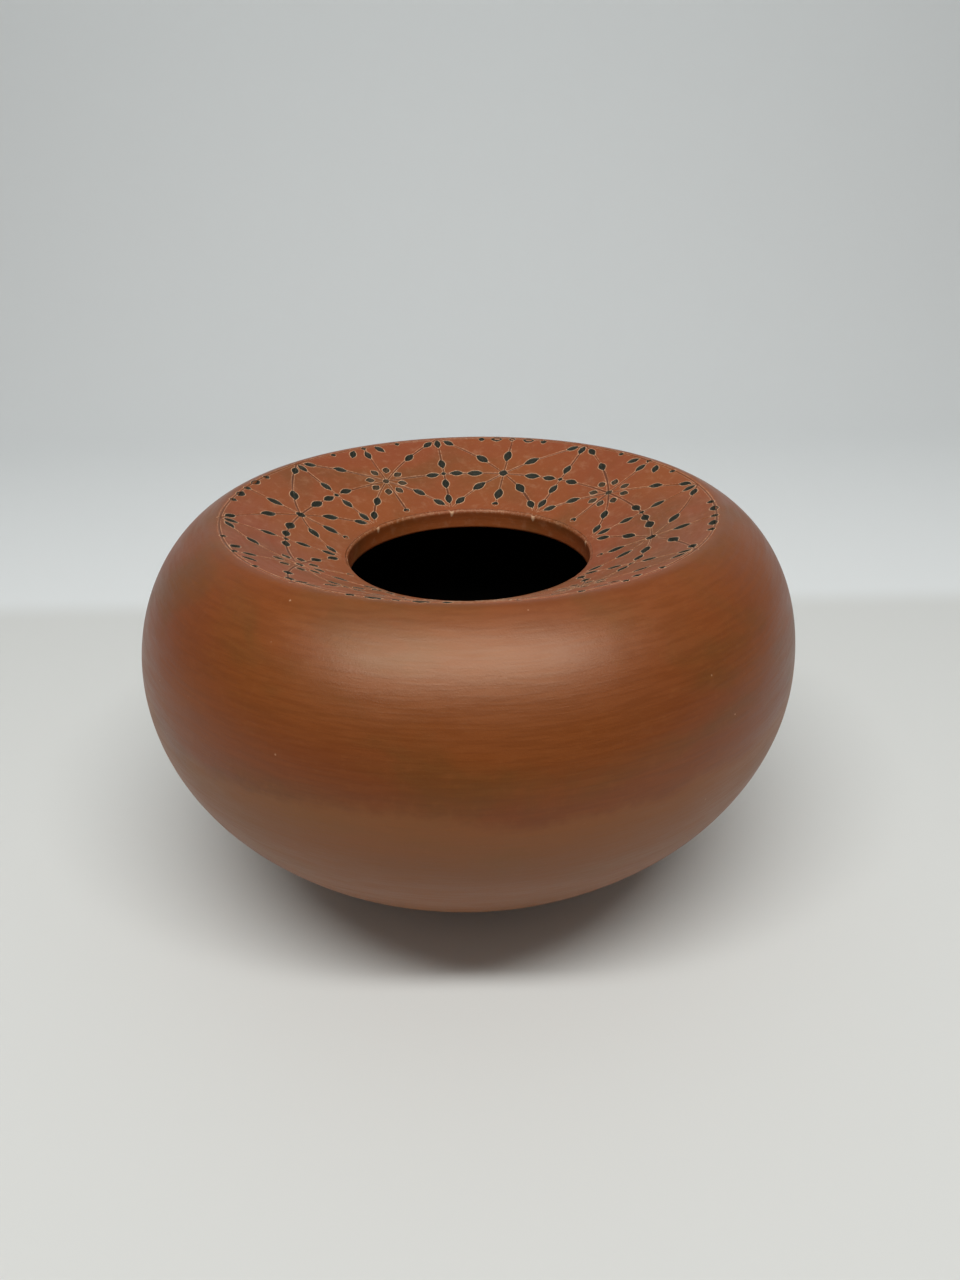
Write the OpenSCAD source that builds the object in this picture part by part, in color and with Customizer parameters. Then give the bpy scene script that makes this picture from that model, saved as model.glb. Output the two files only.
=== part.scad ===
// Hand-built terracotta pot with a sunken, incised collar.
// Z is up and the pot stands on the plane z = 0, with its axis on Z.
// Angles around the pot are counted clockwise from +Y, seen from above.

/* [Body] */
// Diameter at the belly, the widest level
belly_d = 200; // [160:1:250]
// Height of the belly above the table
belly_h = 70; // [56:0.5:90]
// Thickness of the clay wall
wall = 6; // [4:0.25:8]
// Diameter of the flat that the pot stands on
foot_d = 68; // [54:1:90]
// Width of the ring that the lower wall adds around the foot slab
foot_ring = 4; // [2:0.5:8]
// Thickness of the foot slab
floor_t = 7; // [5:0.25:10]
// How far below the table the curve of the lower wall would close
closing_depth = 5; // [3:0.5:10]

/* [Shoulder] */
// Height of the shoulder's curve above the belly
shoulder_rise = 46; // [36:0.5:58]
// How far inside the collar's edge the shoulder's curve would level off
crest_lead = 8.7; // [6:0.1:12]
// Radius of the rounded crest between the shoulder and the collar
crest_round = 5.3; // [4:0.1:7]
// How far outside the collar's edge the rounded crest begins
crest_out = 3.3; // [2.6:0.1:4.5]

/* [Collar] */
// Diameter of the collar's edge line
collar_d = 145.4; // [125:0.2:165]
// Diameter of the mouth
mouth_d = 74.4; // [60:0.2:90]
// How far the mouth's edge lies below the top of the crest
collar_drop = 16.2; // [12:0.1:20]
// Thickness of the collar
collar_t = 5.5; // [4:0.25:7]
// How far outside the edge line the collar is joined to the shoulder
joint_out = 1.6; // [1.3:0.1:2]
// Width of the coil that makes the mouth's lip
lip_w = 2; // [1.5:0.1:2.4]
// Radius of the lip's upper edge
lip_round = 1.2; // [0.6:0.1:1.4]
// Width of the line incised at the collar's edge
edge_line_w = 0.5; // [0.3:0.1:0.8]

/* [Coat] */
// Thickness of the black coat inside the pot
coat_t = 0.5; // [0.4:0.1:1]

/* [Pattern] */
// Number of times that the pattern repeats around the collar
repeats = 4; // [3:1:5]
// Where the first starburst stands, in degrees from the back
pattern_turn = 13; // [0:0.1:90]
// Depth of the cuts
cut_depth = 0.8; // [0.5:0.1:1.5]
// Thickness of the black stain that lies in a cut
stain_t = 0.4; // [0.2:0.05:0.45]
// Length of a leaf cut
leaf_l = 5.2; // [4:0.1:6]
// Width of a leaf cut
leaf_w = 2.3; // [1.6:0.1:2.6]
// Radius of a ring flower, to the middle of its petals
flower_r = 5.8; // [5.4:0.1:6.2]
// Length of a petal
petal_l = 3; // [2.4:0.1:3.4]
// Width of a petal
petal_w = 1.9; // [1.4:0.1:2]
// How much the cuts wander from their places, as hand work does
hand_shift = 0.2; // [0:0.05:0.3]

/* [Hidden] */
$fn = 180;
ARC_STEPS = 18;
CREST_STEPS = 6;

belly_r = belly_d / 2;
foot_r = foot_d / 2;
slab_r = foot_r - foot_ring;
collar_r = collar_d / 2;
mouth_r = mouth_d / 2;

// The lower wall is part of an ellipse that passes through the foot's edge and the belly.
low_b = belly_h + closing_depth;
low_a = (belly_r - foot_r) / (1 - sqrt(1 - pow(belly_h / low_b, 2)));
low_c = belly_r - low_a;

// The shoulder is part of another ellipse, level with the first at the belly.
up_c = collar_r - crest_lead;
up_a = belly_r - up_c;
up_b = shoulder_rise;

function low_point(turn, grow) =
    [low_c + (low_a - grow) * cos(turn), belly_h - (low_b - grow) * sin(turn)];
function up_point(turn, grow) =
    [up_c + (up_a - grow) * cos(turn), belly_h + (up_b - grow) * sin(turn)];

// The crest is an arc that leaves the shoulder's curve without a step.
crest_turn = acos((collar_r + crest_out - up_c) / up_a);
crest_start = up_point(crest_turn, 0);
crest_lean = atan2(cos(crest_turn) / up_a, sin(crest_turn) / up_b);
crest_mid = crest_start - crest_round * [sin(crest_lean), cos(crest_lean)];
function crest_point(lean) = crest_mid + crest_round * [sin(lean), cos(lean)];
joint_lean = asin((collar_r + joint_out - crest_mid[0]) / crest_round);

// The collar is a cone from the mouth's edge to where it meets the crest's arc.
mouth_edge = [mouth_r, crest_mid[1] + crest_round - collar_drop];
reach = crest_mid - mouth_edge;
slope = atan2(reach[1], reach[0]) + asin(crest_round / norm(reach));
up_slope = [cos(slope), sin(slope)];
normal = [-sin(slope), cos(slope)];
collar_w = (collar_r - mouth_r) / cos(slope);
function on_collar(along, under) = mouth_edge + along * up_slope - under * normal;
function under_height(r, under) =
    mouth_edge[1] + (r - mouth_r) * tan(slope) - under / cos(slope);

// The corner inside the pot where the shoulder meets the underside of the collar.
function corner_turn(grow) =
    let (a = up_a - wall - grow, b = up_b - wall - grow,
        level = under_height(up_c, collar_t + grow) - belly_h,
        m = a * tan(slope), span = norm([m, b]))
    asin(level / span) + atan2(m, b);

function low_outside() =
    [for (i = [0:ARC_STEPS]) low_point(asin(belly_h / low_b) * (1 - i / ARC_STEPS), 0)];
function up_outside() = [for (i = [0:ARC_STEPS]) up_point(crest_turn * i / ARC_STEPS, 0)];
function low_inside(grow) =
    let (last = asin((belly_h - floor_t - grow) / (low_b - wall - grow)))
    [for (i = [0:ARC_STEPS]) low_point(last * i / ARC_STEPS, wall + grow)];
function up_inside(grow) =
    [for (i = [0:ARC_STEPS]) up_point(corner_turn(grow) * (1 - i / ARC_STEPS), wall + grow)];
function crest_arc(from, to) =
    [for (i = [0:CREST_STEPS]) crest_point(from + (to - from) * i / CREST_STEPS)];
function joint_corner() = up_point(corner_turn(0), wall);

// One side of the coat, from the mouth down to the floor.
function coat_side(grow) = let (r = mouth_r + coat_t) concat(
    [[r, under_height(r, collar_t + grow)]],
    [for (p = up_inside(grow)) if (p[1] > belly_h + 0.01) p], low_inside(grow));
function reversed(list) = [for (i = [len(list) - 1:-1:0]) list[i]];

// Places on the collar. A place is [angle, share], where the share runs from 0 at the
// mouth's edge to 1 at the edge line. A cut is [angle, share, turn, length, width].
unit = 360 / repeats;
MID = 0.5;
EDGE = 0.985;
OUTER_HUB = 1;
INNER_HUB = 0.03;
// The dots beside the lip keep clear of it by this share of a leaf's width.
LIP_DOT_GAP = 0.66;
LIP_DOTS = (lip_w + LIP_DOT_GAP * leaf_w) / collar_w;
function ring_r(share) = mouth_r + share * (collar_r - mouth_r);
function around(length, share) = length / ring_r(share) * 180 / PI;
function wander(i, k) = hand_shift * sin(97 * i + 131 * k);

// A cut at a place, a little off as hand work is, and one on the line between two places.
function cut(place, turn, size, i) =
    [place[0] + around(wander(i, 1), place[1]), place[1] + wander(i, 2) / collar_w,
        turn + 18 * wander(i, 3), size[0], size[1]];
function cut_on(from, to, part, size, i) =
    let (at = from + part * (to - from), rise = (to[1] - from[1]) * collar_w,
        run = (to[0] - from[0]) / around(1, at[1]))
    cut(at, atan2(rise, run), size, i);

LEAF = [leaf_l, leaf_w];
SHORT_LEAF = LEAF * 0.84;
PETAL = [petal_l, petal_w];
BIG_DOT = [leaf_w * 1.3, leaf_w * 1.1];
LYING_DOT = [leaf_l * 0.75, leaf_w * 0.95];
SMALL_DOT = [leaf_w * 0.8, leaf_w * 0.65];

// A starburst has eight leaves, on its lines to the crosses, hubs and dots around it.
function starburst(at) = let (c = [at, MID], next = unit / 4) concat(
    [cut(c, 0, BIG_DOT, at), cut_on(c, [at, EDGE], 0.49, LEAF, at),
        cut_on(c, [at, LIP_DOTS], 0.67, LEAF, at + 1)],
    [for (side = [-1, 1]) each [
        cut_on(c, [at + side * next, MID], 0.49, LEAF, at + 2 * side),
        cut_on(c, [at + side * next, OUTER_HUB], 0.385, LEAF, at + 3 * side),
        cut_on(c, [at + side * next, INNER_HUB], 0.385, LEAF, at + 4 * side)]]);
function ring_flower(at) = concat(
    [cut([at, MID], 0, SMALL_DOT * 1.2, at)],
    [for (k = [0:7]) let (ray = 45 * k + 22.5)
        cut([at + around(flower_r * cos(ray), MID), MID + flower_r * sin(ray) / collar_w],
            ray, PETAL, at + k)]);
function cross(at) = let (c = [at, MID], next = unit / 4) [
    cut(c, 0, SMALL_DOT * 0.8, at),
    cut_on(c, [at + next, MID], 0.205, SHORT_LEAF, at + 1),
    cut_on(c, [at - next, MID], 0.205, SHORT_LEAF, at + 2),
    cut_on(c, [at, OUTER_HUB], 0.28, SHORT_LEAF, at + 3),
    cut_on(c, [at, INNER_HUB], 0.29, SHORT_LEAF, at + 4)];

// The fans stand at the two ends of each cross's upright, with their leaves on the lines.
function outer_fan(at) = let (hub = [at, OUTER_HUB]) [
    for (side = [-1:1]) cut_on(hub, [at + side * unit / 4, MID],
        side == 0 ? 0.155 : 0.14, SHORT_LEAF * 0.9, at + side)];
function inner_fan(at) = let (hub = [at, INNER_HUB]) [
    for (side = [-1:1]) cut_on(hub, [at + side * unit / 4, MID],
        side == 0 ? 0.285 : 0.225, SHORT_LEAF * 0.95, at + side)];
function link_leaves(at, side) = let (flower = [at + side * unit / 4, MID]) [
    cut_on([at, OUTER_HUB], flower, 0.46, SHORT_LEAF, at + side),
    cut_on([at, INNER_HUB], flower, 0.55, SHORT_LEAF, at - side)];

// Five lying dots stand at the edge above a starburst, and a hanging fan above a flower.
function edge_dots(star, flower) = concat(
    [for (k = [-2:2]) cut([star + k * unit * 0.052, EDGE], 0,
        k % 2 == 0 ? SMALL_DOT * 1.15 : LYING_DOT, star + k)],
    [cut([flower, 0.88], 90, SHORT_LEAF * 0.9, flower)],
    [for (side = [-1, 1]) each [
        cut([flower + side * unit * 0.049, 0.935], -side * 52, SHORT_LEAF * 0.9, flower + side),
        cut([flower + side * unit * 0.113, EDGE], 0, SMALL_DOT * 0.9, flower + 2 * side)]],
    [cut([flower, EDGE + 0.005], 0, SMALL_DOT * 0.9, flower + 3)]);

// The middles of the motifs around the collar, and every cut of each kind.
stars = [for (k = [0:repeats - 1]) pattern_turn + unit * k];
flowers = [for (at = stars) at + unit / 2];
crosses = [for (k = [0:2 * repeats - 1]) pattern_turn + unit * (k / 2 + 0.25)];

star_cuts = [for (at = stars) each starburst(at)];
flower_cuts = [for (at = flowers) each ring_flower(at)];
cross_cuts = [for (at = crosses) each cross(at)];
outer_fan_cuts = [for (at = crosses) each outer_fan(at)];
inner_fan_cuts = [for (at = crosses) each inner_fan(at)];
link_cuts = [for (k = [0:2 * repeats - 1]) each link_leaves(crosses[k], k % 2 == 0 ? 1 : -1)];
edge_dot_cuts = [for (at = stars) each edge_dots(at, at + unit / 2)];
lip_dot_cuts = [for (at = concat(stars, flowers)) cut([at, LIP_DOTS], 90, SMALL_DOT, at)];
all_cuts = concat(star_cuts, flower_cuts, cross_cuts, outer_fan_cuts, inner_fan_cuts,
    link_cuts, edge_dot_cuts, lip_dot_cuts);

// Outline of a cut: two flat curves that meet in points at both ends.
module leaf_outline(length, width) {
    polygon([for (u = [-1:0.5:0.5]) [u * length, (1 - u * u) * width] / 2,
        for (u = [1:-0.5:-0.5]) [u * length, (u * u - 1) * width] / 2]);
}

// Prisms that stand square to the collar at every cut, from one depth up to another.
module cut_prisms(cuts, depth, height) {
    for (c = cuts)
        let (at = on_collar(c[1] * collar_w, depth))
            rotate([0, 0, -c[0]]) translate([0, at[0], at[1]]) rotate([slope, 0, 0])
                rotate([0, 0, c[2]]) linear_extrude(height) leaf_outline(c[3], c[4]);
}

module stain(cuts) {
    color("#1d201b") cut_prisms(cuts, cut_depth, stain_t);
}

module foot_disc() {
    color("#a05a36") cylinder(h = floor_t, r = slab_r);
}

module lower_wall() {
    color("#8f5433") rotate_extrude() polygon(concat(
        [[slab_r, 0]], low_outside(), low_inside(0), [[slab_r, floor_t]]));
}

module shoulder_wall() {
    color("#99592f") rotate_extrude() polygon(concat(
        up_outside(), crest_arc(crest_lean, joint_lean), up_inside(0)));
}

module dished_collar() {
    color("#8f4f37") difference() {
        rotate_extrude() polygon(concat(crest_arc(joint_lean, -slope),
            [on_collar(lip_w, 0), on_collar(lip_w, collar_t), joint_corner()]));
        cut_prisms(all_cuts, cut_depth, cut_depth + 1);
        edge_line();
    }
}

// Ring removed by the line incised around the collar's edge.
module edge_line() {
    lean = asin((collar_r - crest_mid[0]) / crest_round);
    rotate_extrude() translate(crest_point(lean)) rotate(-lean)
        square(edge_line_w, center = true);
}

module mouth_lip() {
    turn = 90 + slope;
    round_mid = mouth_edge + lip_round * [1, (tan(slope) - 1 / cos(slope))];
    color("#9c5a35") rotate_extrude() polygon(concat(
        [on_collar(lip_w, collar_t), on_collar(lip_w, 0)],
        [for (i = [0:CREST_STEPS]) let (a = turn + (180 - turn) * i / CREST_STEPS)
            round_mid + lip_round * [cos(a), sin(a)]],
        [[mouth_r, under_height(mouth_r, collar_t)]]));
}

module inner_coat() {
    color("#141412") rotate_extrude() polygon(concat(
        [[0, floor_t]], reversed(coat_side(0)), coat_side(coat_t), [[0, floor_t + coat_t]]));
}

foot_disc();
lower_wall();
shoulder_wall();
dished_collar();
mouth_lip();
inner_coat();
stain(star_cuts);  // starburst_stain
stain(flower_cuts);  // ring_flower_stain
stain(cross_cuts);  // cross_stain
stain(outer_fan_cuts);  // outer_fan_stain
stain(inner_fan_cuts);  // inner_fan_stain
stain(link_cuts);  // link_leaf_stain
stain(edge_dot_cuts);  // edge_dot_stain
stain(lip_dot_cuts);  // lip_dot_stain
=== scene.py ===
# %% [markdown]
# # A hand-built clay pot with a sunken, carved collar
#
# The pot is red clay, built by hand and rubbed with a smooth stone until it shines. Its top is
# a shallow dish, the collar, cut all over with small leaf marks that are filled with black.
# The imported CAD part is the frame: it fixes the size, and each new piece stands for CAD nodes.
# Everything below works in millimetres, and MM turns them into Blender's metres.

from math import acos, asin, atan2, ceil, cos, degrees, hypot, pi, radians, sin, sqrt, tan

import bmesh
import bpy
import numpy as np
from mathutils import Matrix, Vector


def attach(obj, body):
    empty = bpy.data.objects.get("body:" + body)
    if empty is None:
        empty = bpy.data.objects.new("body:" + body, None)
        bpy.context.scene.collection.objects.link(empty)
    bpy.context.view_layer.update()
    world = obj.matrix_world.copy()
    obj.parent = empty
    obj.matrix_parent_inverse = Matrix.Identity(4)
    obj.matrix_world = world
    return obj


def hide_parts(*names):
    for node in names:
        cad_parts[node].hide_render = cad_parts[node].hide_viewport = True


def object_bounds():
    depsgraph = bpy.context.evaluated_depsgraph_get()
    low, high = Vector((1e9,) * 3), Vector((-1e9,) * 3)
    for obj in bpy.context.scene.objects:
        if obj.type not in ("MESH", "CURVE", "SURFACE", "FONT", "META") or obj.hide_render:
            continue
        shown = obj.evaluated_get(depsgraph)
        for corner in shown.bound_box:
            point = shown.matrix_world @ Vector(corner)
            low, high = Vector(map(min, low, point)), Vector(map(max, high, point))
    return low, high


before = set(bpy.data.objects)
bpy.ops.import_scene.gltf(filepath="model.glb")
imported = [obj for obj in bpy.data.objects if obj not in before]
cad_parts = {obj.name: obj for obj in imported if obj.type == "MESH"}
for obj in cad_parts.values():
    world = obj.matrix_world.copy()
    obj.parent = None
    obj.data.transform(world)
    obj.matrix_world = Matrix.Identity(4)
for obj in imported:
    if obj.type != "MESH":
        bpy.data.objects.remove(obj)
cad_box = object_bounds()
BELLY_D = 200
MM = (cad_box[1].x - cad_box[0].x) / BELLY_D
print("pot", [round(x / MM, 2) for x in cad_box[1] - cad_box[0]], "mm across and high")

# %% [markdown]
# ## The side of the pot
#
# A wheel-like form needs one outline. The lower wall and the shoulder are two parts of
# ellipses that meet at the belly, and a small round crest joins the shoulder to the collar,
# which is a shallow cone. Formulas give every point, so any stretch can be drawn as finely as
# its piece needs. These are the same sizes as the CAD part's, so the pieces fall on its faces.

# %% The outline's sizes
BELLY_R, BELLY_H, FOOT_R = BELLY_D / 2, 70.0, 34.0
WALL, FLOOR_T, CLOSING = 6.0, 7.0, 5.0
SHOULDER_RISE, CREST_LEAD = 46.0, 8.7
CREST_ROUND, CREST_OUT, JOINT_OUT = 5.3, 3.3, 1.6
COLLAR_R, MOUTH_R, COLLAR_DROP, COLLAR_T = 72.7, 37.2, 16.2, 5.5
LIP_W, LIP_ROUND, COAT_T = 2.0, 1.2, 0.5

low_b = BELLY_H + CLOSING
low_a = (BELLY_R - FOOT_R) / (1 - sqrt(1 - (BELLY_H / low_b) ** 2))
low_c = BELLY_R - low_a
up_c = COLLAR_R - CREST_LEAD
up_a, up_b = BELLY_R - up_c, SHOULDER_RISE


def low_point(turn, inward=0.0):
    """A point of the lower wall; turn is 0 at the belly."""
    return (low_c + (low_a - inward) * cos(turn), BELLY_H - (low_b - inward) * sin(turn))


def up_point(turn, inward=0.0):
    """A point of the shoulder; turn is 0 at the belly."""
    return (up_c + (up_a - inward) * cos(turn), BELLY_H + (up_b - inward) * sin(turn))


def steps(start, end, count):
    return [start + (end - start) * i / count for i in range(count + 1)]


# %% The crest and the collar's slope
crest_turn = acos((COLLAR_R + CREST_OUT - up_c) / up_a)
crest_lean = atan2(cos(crest_turn) / up_a, sin(crest_turn) / up_b)
crest_r, crest_z = up_point(crest_turn)
crest_r -= CREST_ROUND * sin(crest_lean)
crest_z -= CREST_ROUND * cos(crest_lean)
mouth_z = crest_z + CREST_ROUND - COLLAR_DROP
span_r, span_z = crest_r - MOUTH_R, crest_z - mouth_z
SLOPE = atan2(span_z, span_r) + asin(CREST_ROUND / hypot(span_r, span_z))
COLLAR_W = (COLLAR_R - MOUTH_R) / cos(SLOPE)
FLAT_W = hypot(span_r, span_z) * cos(asin(CREST_ROUND / hypot(span_r, span_z)))
joint_lean = asin((COLLAR_R + JOINT_OUT - crest_r) / CREST_ROUND)


def crest_point(lean, inward=0.0):
    """A point of the rounded crest; it leans out by this angle from straight up."""
    across = CREST_ROUND - inward
    return (crest_r + across * sin(lean), crest_z + across * cos(lean))


def collar_point(along, under=0.0):
    """A point of the collar, this far from the mouth's edge and this deep in the clay."""
    return (
        MOUTH_R + along * cos(SLOPE) + under * sin(SLOPE),
        mouth_z + along * sin(SLOPE) - under * cos(SLOPE),
    )


def under_collar(r, under):
    """Height of the collar's underside at this radius."""
    return mouth_z + (r - MOUTH_R) * tan(SLOPE) - under / cos(SLOPE)


def corner_turn(inward):
    """Where the inside of the shoulder meets the underside of the collar."""
    a, b = up_a - WALL - inward, up_b - WALL - inward
    level, m = under_collar(up_c, COLLAR_T + inward) - BELLY_H, a * tan(SLOPE)
    return asin(level / hypot(m, b)) + atan2(m, b)


print("collar slopes %.1f degrees, %.1f mm wide" % (degrees(SLOPE), COLLAR_W))

# %% [markdown]
# ## The marks of the hand
#
# No hand-built pot is a perfect turned form. The wall swells and dips by a few tenths of a
# millimetre, and the collar sits a little to one side. One function of place moves the points
# of every piece, so the pieces still meet, and it is smooth, so that a highlight runs over it
# softly, as it does on stone-rubbed clay.

# %% Move points as the hand leaves them
OVAL, THREE_SIDED, DENTS, DENT_SIZE = 0.16, 0.10, 0.10, 34
COLLAR_LEAN, COLLAR_TILT = 0.5, 0.12


def ease(low, high, x):
    """0 below low, 1 above high and a smooth rise between."""
    t = np.clip((x - low) / (high - low), 0, 1)
    return t * t * (3 - 2 * t)


def ripple(x, y, z, size, seed):
    """Soft bumps about this size apart, from crossing waves, between -1 and 1."""
    total = 0
    for k in range(5):
        turn, rise = 1.9 * k + seed, 0.8 * sin(2.3 * k + 1.7 * seed)
        way = cos(turn) * cos(rise) * x + sin(turn) * cos(rise) * y + sin(rise) * z
        total = total + np.sin(2 * pi * way / (size * (1 + 0.23 * k)) + 1.3 * k + seed)
    return total / 5


def hand_moved(points):
    """Points in millimetres, shifted as one handmade pot: an (n, 3) array."""
    x, y, z = points.T
    r, turn = np.hypot(x, y), np.arctan2(y, x)
    outward = ease(20, 60, r) * (
        OVAL * np.sin(2 * turn + 0.7) + THREE_SIDED * np.sin(3 * turn + 2.2)
    ) + DENTS * ripple(x, y, z, DENT_SIZE, 2.0) * ease(4, 16, z)
    lean = COLLAR_LEAN * ease(72, 104, z)
    moved = points.copy()
    safe = np.maximum(r, 1e-6)
    moved[:, 0] += x / safe * outward + lean
    moved[:, 1] += y / safe * outward
    moved[:, 2] += COLLAR_TILT * np.sin(2 * turn + 1.0) * ease(80, 105, z)
    return moved


# %% [markdown]
# ## Making a turned piece
#
# Each ring-shaped piece starts as a closed outline of a few vertices in the XZ plane, and
# bmesh's spin turns it around Z. A long spin is slow, so a narrow wedge is spun and doubled four
# times. Doubles are then merged, which joins the wedges and closes the poles at the axis, and
# the faces are pointed outwards.

# %% Helpers that make, place and report a piece
DOUBLINGS = 4
MERGE_DIST = 1e-6


def outline_in(bm, points):
    verts = [bm.verts.new((r * MM, 0, z * MM)) for r, z in points]
    loop = [bm.edges.new(pair) for pair in zip(verts, verts[1:] + verts[:1])]
    return verts + loop


def turned(points, around, angle=2 * pi):
    """A closed outline spun around the pot's axis: a narrow wedge, doubled to the angle."""
    bm = bmesh.new()
    geom = outline_in(bm, points)
    wedge = angle / 2**DOUBLINGS
    bmesh.ops.spin(
        bm, geom=geom, cent=(0, 0, 0), axis=(0, 0, 1), angle=wedge,
        steps=around // 2**DOUBLINGS, use_merge=False,
    )
    for _ in range(DOUBLINGS):
        made = bmesh.ops.duplicate(bm, geom=bm.verts[:] + bm.edges[:] + bm.faces[:])["geom"]
        verts = [g for g in made if isinstance(g, bmesh.types.BMVert)]
        bmesh.ops.rotate(bm, verts=verts, cent=(0, 0, 0), matrix=Matrix.Rotation(wedge, 3, "Z"))
        wedge *= 2
    bmesh.ops.remove_doubles(bm, verts=bm.verts, dist=MERGE_DIST)
    bmesh.ops.recalc_face_normals(bm, faces=bm.faces)
    return bm


def read_points(mesh):
    flat = np.empty(len(mesh.vertices) * 3, np.float32)
    mesh.vertices.foreach_get("co", flat)
    return flat.reshape(-1, 3).astype(float) / MM


def write_points(mesh, points):
    mesh.vertices.foreach_set("co", (points * MM).astype(np.float32).ravel())
    mesh.update()


def mark(mesh, name, values):
    """Keeps one number for each vertex, for the piece's material to read."""
    layer = mesh.attributes.new(name, "FLOAT", "POINT")
    layer.data.foreach_set("value", np.asarray(values, np.float32))


def placed(mesh, name, finish, nodes):
    """Shades the mesh smooth, puts it on the pot in place of these CAD nodes and reports."""
    mesh.shade_smooth()
    mesh.materials.append(finish)
    piece = bpy.data.objects.new(name, mesh)
    bpy.context.scene.collection.objects.link(piece)
    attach(piece, "root")
    if nodes:
        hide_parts(*nodes)
    triangles = sum(len(p.vertices) - 2 for p in mesh.polygons)
    print("%-18s %7d triangles" % (name, triangles))
    return piece


def as_mesh(bm, name):
    mesh = bpy.data.meshes.new(name)
    bm.to_mesh(mesh)
    bm.free()
    return mesh


# %% [markdown]
# ## The clay's finishes as node groups
#
# Four effects are shared by the burnished wall, the slipped collar and the lip: kiln clouds
# (flame and smoke colour the clay in soft patches), burnish strokes (the stone leaves fine
# level lines), grit (pale specks of temper) and pores (a fine grain that breaks the gloss).
# Each is a shader node group that gives out a colour, a mask or a height.

# %% Helpers that build nodes


def add(tree, kind, inputs=(), **settings):
    """A node with its settings; inputs maps a socket's name or number to a value or link."""
    made = tree.nodes.new("ShaderNode" + kind)
    for key, value in settings.items():
        setattr(made, key, value)
    for key, value in dict(inputs).items():
        if isinstance(value, bpy.types.NodeSocket):
            tree.links.new(value, made.inputs[key])
        else:
            made.inputs[key].default_value = value
    return made


def clay(red, green, blue):
    """A colour as a paint chart gives it, 0 to 255, turned into light for the shader."""
    def light(c):
        c /= 255
        return c / 12.92 if c <= 0.04045 else ((c + 0.055) / 1.055) ** 2.4
    return (light(red), light(green), light(blue), 1)


FACTOR, FIRST, SECOND, COLOUR_OUT = 0, 6, 7, 2


def tinted(tree, amount, first, second, how="MIX"):
    """Two colours mixed by an amount; the colour socket comes back."""
    made = add(tree, "Mix", {FACTOR: amount, FIRST: first, SECOND: second},
               data_type="RGBA", blend_type=how)
    return made.outputs[COLOUR_OUT]


def sums(tree, how, first, second=0.0, third=0.0, clamp=False):
    return add(tree, "Math", {0: first, 1: second, 2: third},
               operation=how, use_clamp=clamp).outputs[0]


def spread(tree, value, low, high, to_low=0.0, to_high=1.0):
    """A value's range stretched onto another with soft ends."""
    made = add(tree, "MapRange", {0: value, 1: low, 2: high, 3: to_low, 4: to_high},
               interpolation_type="SMOOTHSTEP")
    return made.outputs[0]


def clouds(tree, where, size_mm, detail=2.0, roughness=0.5, distortion=0.0):
    """Noise whose soft patches are about this many millimetres across."""
    made = add(tree, "TexNoise", {
        "Vector": where, "Scale": 1 / (size_mm * MM), "Detail": detail,
        "Roughness": roughness, "Distortion": distortion,
    })
    return made.outputs["Fac"]


def new_group(name, inputs, outputs):
    """An empty node group with these sockets, and its two ends."""
    tree = bpy.data.node_groups.new(name, "ShaderNodeTree")
    for socket, kind in inputs.items():
        tree.interface.new_socket(socket, in_out="INPUT", socket_type="NodeSocket" + kind)
    for socket, kind in outputs.items():
        tree.interface.new_socket(socket, in_out="OUTPUT", socket_type="NodeSocket" + kind)
    taken = tree.nodes.new("NodeGroupInput").outputs
    return tree, taken, tree.nodes.new("NodeGroupOutput").inputs


def placed_group(tree, group, inputs):
    """A group placed in a material; its outputs come back."""
    return add(tree, "Group", inputs, node_tree=group).outputs


# %% [markdown]
# ### Kiln clouds
#
# In an open fire no two sides of a pot see the same flame. Broad patches drift between the
# clay's own orange, a redder tone and an olive brown where smoke reached it. Three noises of
# different sizes are enough: one for the broad drift, one for hand-sized patches and one that
# breaks up their edges.

# %% Kiln clouds
kiln_clouds, taken, given = new_group(
    "Kiln clouds",
    {"Place": "Vector", "Clay": "Color", "Flame": "Color", "Smoke": "Color", "Ash": "Color"},
    {"Color": "Color"},
)
level = add(kiln_clouds, "Mapping", {"Vector": taken["Place"], "Scale": (1, 1, 2.2)}).outputs[0]
broad = clouds(kiln_clouds, level, 78, 2, 0.5, 0.3)
patch = clouds(kiln_clouds, level, 42, 4, 0.55, 0.5)
fleck = clouds(kiln_clouds, taken["Place"], 2.6, 3, 0.6)
tone = tinted(kiln_clouds, spread(kiln_clouds, broad, 0.38, 0.66), taken["Clay"], taken["Flame"])
tone = tinted(kiln_clouds, spread(kiln_clouds, patch, 0.46, 0.72, 0, 0.7), tone, taken["Smoke"])
tone = tinted(kiln_clouds, spread(kiln_clouds, fleck, 0.5, 0.8, 0, 0.4), tone, taken["Ash"])
kiln_clouds.links.new(tone, given["Color"])

# %% [markdown]
# ### Burnish strokes
#
# The stone is drawn round the pot, so its marks are long and level. A noise squeezed hard in
# height and left long around gives them, and a second, coarser one makes some bands of strokes
# stand out. They change the gloss and the colour a little, and the surface hardly at all.

# %% Burnish strokes
burnish_strokes, taken, given = new_group(
    "Burnish strokes", {"Place": "Vector"}, {"Stroke": "Float", "Band": "Float"}
)
squeeze = add(burnish_strokes, "Mapping", {"Vector": taken["Place"], "Scale": (1, 1, 16)})
fine = clouds(burnish_strokes, squeeze.outputs[0], 13, 4, 0.6, 0.15)
squeeze_wide = add(burnish_strokes, "Mapping", {"Vector": taken["Place"], "Scale": (1, 1, 5)})
wide = clouds(burnish_strokes, squeeze_wide.outputs[0], 22, 2, 0.5, 0.3)
burnish_strokes.links.new(spread(burnish_strokes, fine, 0.3, 0.7), given["Stroke"])
burnish_strokes.links.new(spread(burnish_strokes, wide, 0.36, 0.64), given["Band"])

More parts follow.
